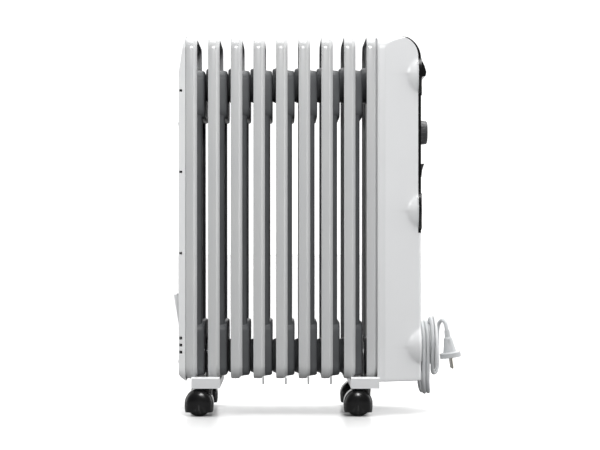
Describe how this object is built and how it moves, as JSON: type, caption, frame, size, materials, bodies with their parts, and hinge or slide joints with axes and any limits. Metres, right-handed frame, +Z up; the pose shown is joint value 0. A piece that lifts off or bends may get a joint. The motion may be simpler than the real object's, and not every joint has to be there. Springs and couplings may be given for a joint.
{
  "type": "oil filled radiator heater",
  "caption": "Free-standing electric radiator with upright oil filled fins, a control housing with knob and rocker switches, a cord winder and swivel castors.",
  "frame": {"origin": "on the floor, under the middle of the body's length and depth, cord left out", "axes": "+Z up, +X from the rear cover towards the control housing, +Y across the fins' depth"},
  "size_m": [0.499, 0.196, 0.65],
  "materials": {
    "fin_paint": "gloss enamel",
    "housing_plastic": "semi-gloss moulded",
    "cover_paint": "gloss enamel",
    "fascia_plastic": "gloss moulded",
    "dark_plastic": "fine texture",
    "castor_plastic": "gloss moulded",
    "knob_plastic": "satin",
    "lamp_lens": "clear moulded",
    "zinc_steel": "zinc plated",
    "bare_steel": "rolled",
    "element_steel": "drawn tube",
    "brass_part": "turned",
    "nickel_pin": "nickel plated",
    "gasket_fibre": "pressed fibre",
    "cord_pvc": "satin PVC",
    "plug_pvc": "satin moulded",
    "wire_pvc": "insulated",
    "terminal_plastic": "moulded"
  },
  "bodies": {
    "body": {"fin_1": "fin_paint", "fin_2": "fin_paint", "fin_3": "fin_paint", "fin_4": "fin_paint", "fin_5": "fin_paint", "fin_6": "fin_paint", "fin_7": "fin_paint", "fin_8": "fin_paint", "fin_9": "fin_paint", "rear_cover": "cover_paint", "cover_screws": "zinc_steel", "oil_fill_plug": "bare_steel", "heating_element": "element_steel", "element_flange": "brass_part", "element_gasket": "gasket_fibre", "heat_shield": "bare_steel", "control_housing": "housing_plastic", "front_fascia": "fascia_plastic", "front_handle": "fascia_plastic", "pilot_lamp": "lamp_lens", "thermostat_body": "terminal_plastic", "switch_bodies": "dark_plastic", "terminal_block": "terminal_plastic", "thermal_cutout": "dark_plastic", "internal_wires": "wire_pvc", "housing_screws": "zinc_steel", "cord_winder": "housing_plastic", "strain_relief": "cord_pvc", "cord_lead": "cord_pvc", "cord_loops": "cord_pvc", "cord_turns": "cord_pvc", "cord_tail": "cord_pvc", "plug_body": "plug_pvc", "plug_pins": "nickel_pin", "plug_earth_clips": "brass_part", "castor_bracket_rear": "housing_plastic", "castor_bracket_front": "housing_plastic", "u_bolts": "zinc_steel", "wing_nuts": "zinc_steel", "castor_stems": "zinc_steel"},
    "knob": {"thermostat_knob": "knob_plastic", "thermostat_shaft": "zinc_steel"},
    "rocker_near": {"rocker_near": "dark_plastic"},
    "rocker_far": {"rocker_far": "dark_plastic"},
    "castor_rear_near": {"castor_hood_rear_near": "castor_plastic", "castor_axle_rear_near": "zinc_steel"},
    "wheel_rear_near_a": {"castor_wheel_rear_near_a": "castor_plastic"},
    "wheel_rear_near_b": {"castor_wheel_rear_near_b": "castor_plastic"},
    "castor_rear_far": {"castor_hood_rear_far": "castor_plastic", "castor_axle_rear_far": "zinc_steel"},
    "wheel_rear_far_a": {"castor_wheel_rear_far_a": "castor_plastic"},
    "wheel_rear_far_b": {"castor_wheel_rear_far_b": "castor_plastic"},
    "castor_front_near": {"castor_hood_front_near": "castor_plastic", "castor_axle_front_near": "zinc_steel"},
    "wheel_front_near_a": {"castor_wheel_front_near_a": "castor_plastic"},
    "wheel_front_near_b": {"castor_wheel_front_near_b": "castor_plastic"},
    "castor_front_far": {"castor_hood_front_far": "castor_plastic", "castor_axle_front_far": "zinc_steel"},
    "wheel_front_far_a": {"castor_wheel_front_far_a": "castor_plastic"},
    "wheel_front_far_b": {"castor_wheel_front_far_b": "castor_plastic"}
  },
  "joints": [
    {"name": "knob_turn", "type": "hinge", "parent": "body", "child": "knob", "pos_m": [0.19774, 0, 0.4886], "axis": [1, 0, 0], "range_deg": [-270, 0]},
    {"name": "rocker_near_rock", "type": "hinge", "parent": "body", "child": "rocker_near", "pos_m": [0.19644, -0.011, 0.4235], "axis": [0, 1, 0], "range_deg": [-23.6, 0]},
    {"name": "rocker_far_rock", "type": "hinge", "parent": "body", "child": "rocker_far", "pos_m": [0.19644, 0.011, 0.4235], "axis": [0, 1, 0], "range_deg": [-23.6, 0]},
    {"name": "castor_rear_near_swivel", "type": "hinge", "parent": "body", "child": "castor_rear_near", "pos_m": [-0.17084, -0.0765, 0.045], "axis": [0, 0, 1], "continuous": true},
    {"name": "wheel_rear_near_a_spin", "type": "hinge", "parent": "castor_rear_near", "child": "wheel_rear_near_a", "pos_m": [-0.18234, -0.0765, 0.0223], "axis": [0, 1, 0], "continuous": true},
    {"name": "wheel_rear_near_b_spin", "type": "hinge", "parent": "castor_rear_near", "child": "wheel_rear_near_b", "pos_m": [-0.18234, -0.0765, 0.0223], "axis": [0, 1, 0], "continuous": true},
    {"name": "castor_rear_far_swivel", "type": "hinge", "parent": "body", "child": "castor_rear_far", "pos_m": [-0.17084, 0.0765, 0.045], "axis": [0, 0, 1], "continuous": true},
    {"name": "wheel_rear_far_a_spin", "type": "hinge", "parent": "castor_rear_far", "child": "wheel_rear_far_a", "pos_m": [-0.18234, 0.0765, 0.0223], "axis": [0, 1, 0], "continuous": true},
    {"name": "wheel_rear_far_b_spin", "type": "hinge", "parent": "castor_rear_far", "child": "wheel_rear_far_b", "pos_m": [-0.18234, 0.0765, 0.0223], "axis": [0, 1, 0], "continuous": true},
    {"name": "castor_front_near_swivel", "type": "hinge", "parent": "body", "child": "castor_front_near", "pos_m": [0.09978, -0.0765, 0.045], "axis": [0, 0, 1], "continuous": true},
    {"name": "wheel_front_near_a_spin", "type": "hinge", "parent": "castor_front_near", "child": "wheel_front_near_a", "pos_m": [0.08828, -0.0765, 0.0223], "axis": [0, 1, 0], "continuous": true},
    {"name": "wheel_front_near_b_spin", "type": "hinge", "parent": "castor_front_near", "child": "wheel_front_near_b", "pos_m": [0.08828, -0.0765, 0.0223], "axis": [0, 1, 0], "continuous": true},
    {"name": "castor_front_far_swivel", "type": "hinge", "parent": "body", "child": "castor_front_far", "pos_m": [0.09978, 0.0765, 0.045], "axis": [0, 0, 1], "continuous": true},
    {"name": "wheel_front_far_a_spin", "type": "hinge", "parent": "castor_front_far", "child": "wheel_front_far_a", "pos_m": [0.08828, 0.0765, 0.0223], "axis": [0, 1, 0], "continuous": true},
    {"name": "wheel_front_far_b_spin", "type": "hinge", "parent": "castor_front_far", "child": "wheel_front_far_b", "pos_m": [0.08828, 0.0765, 0.0223], "axis": [0, 1, 0], "continuous": true}
  ]
}
